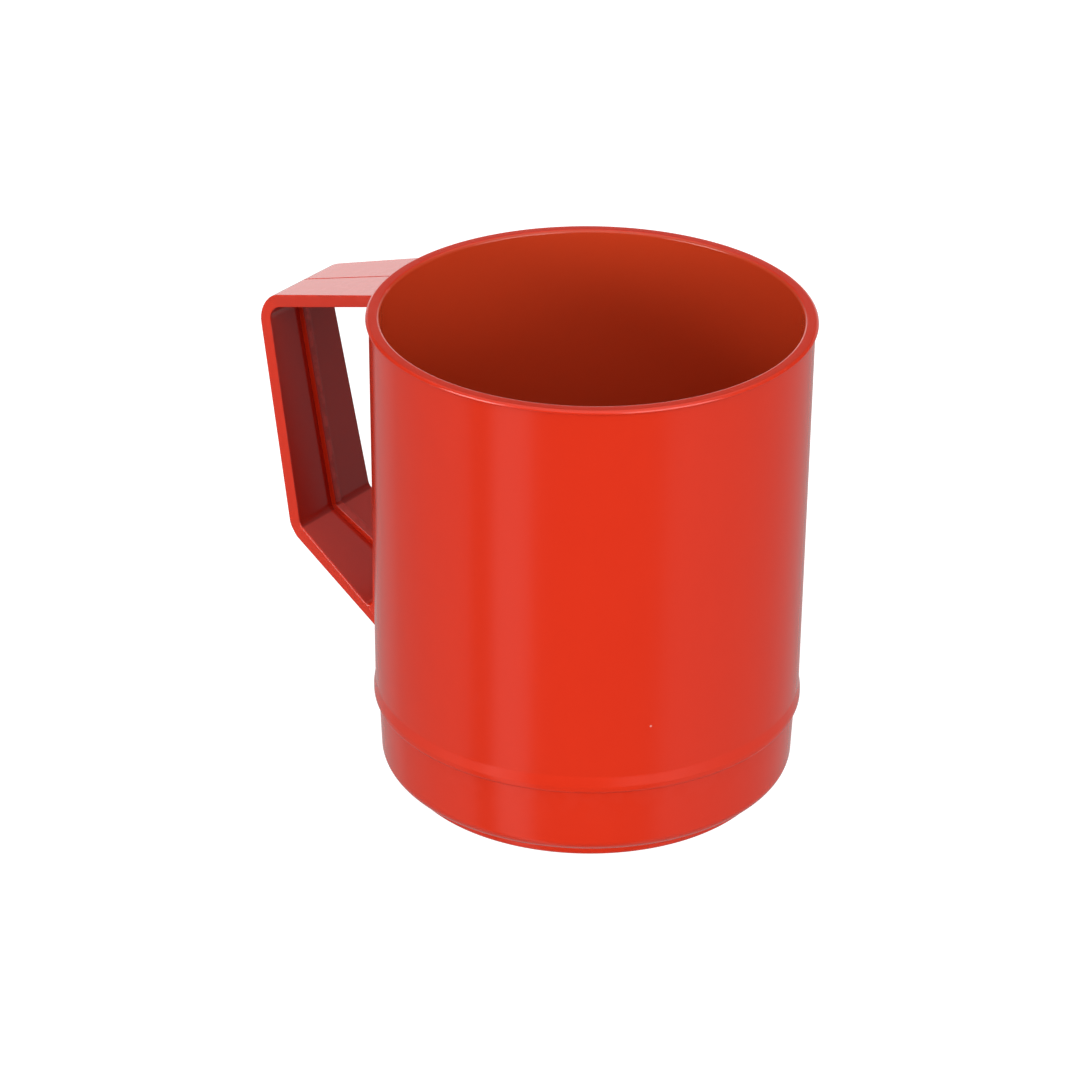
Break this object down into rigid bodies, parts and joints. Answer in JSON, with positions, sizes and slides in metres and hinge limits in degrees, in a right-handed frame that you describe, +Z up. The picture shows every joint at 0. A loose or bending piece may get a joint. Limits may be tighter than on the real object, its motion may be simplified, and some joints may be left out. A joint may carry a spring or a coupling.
{
  "type": "flour sifter",
  "caption": "Shake-type flour sifter: a plain red plastic cup with a squared strap handle, a pull-off base that holds a stainless screen, and a free-turning wire agitator on a central pin.",
  "frame": {"origin": "on the cup's axis, in the plane that the base stands on", "axes": "+Z up along the cup's axis, the handle points along -X, its mid-plane is XZ"},
  "size_m": [0.1494, 0.11, 0.1245],
  "materials": {
    "red_plastic": "glossy moulded",
    "pressed_stainless": "pressed",
    "screen_wire": "drawn wire",
    "turned_stainless": "polished",
    "white_plastic": "satin moulded"
  },
  "bodies": {
    "cup": {"cup_body": "red_plastic", "handle_front_half": "red_plastic", "handle_rear_half": "red_plastic"},
    "base_unit": {"base_basket": "red_plastic", "screen_rim": "pressed_stainless", "screen_weft_wires": "screen_wire", "screen_warp_wires": "screen_wire", "screen_clamp": "red_plastic", "pivot_pin": "turned_stainless", "pin_washer_lower": "pressed_stainless", "pin_washer_upper": "pressed_stainless", "hub_thrust_washer": "white_plastic", "pin_cap": "white_plastic"},
    "agitator": {"agitator_hub": "white_plastic", "agitator_loop_1": "turned_stainless", "agitator_loop_2": "turned_stainless", "agitator_loop_3": "turned_stainless", "agitator_loop_4": "turned_stainless"}
  },
  "joints": [
    {"name": "base_pull", "type": "slide", "parent": "cup", "child": "base_unit", "axis": [0, 0, -1], "range_m": [0, 0.032]},
    {"name": "agitator_spin", "type": "hinge", "parent": "base_unit", "child": "agitator", "pos_m": [0, 0, 0.012], "axis": [0, 0, 1], "continuous": true}
  ]
}
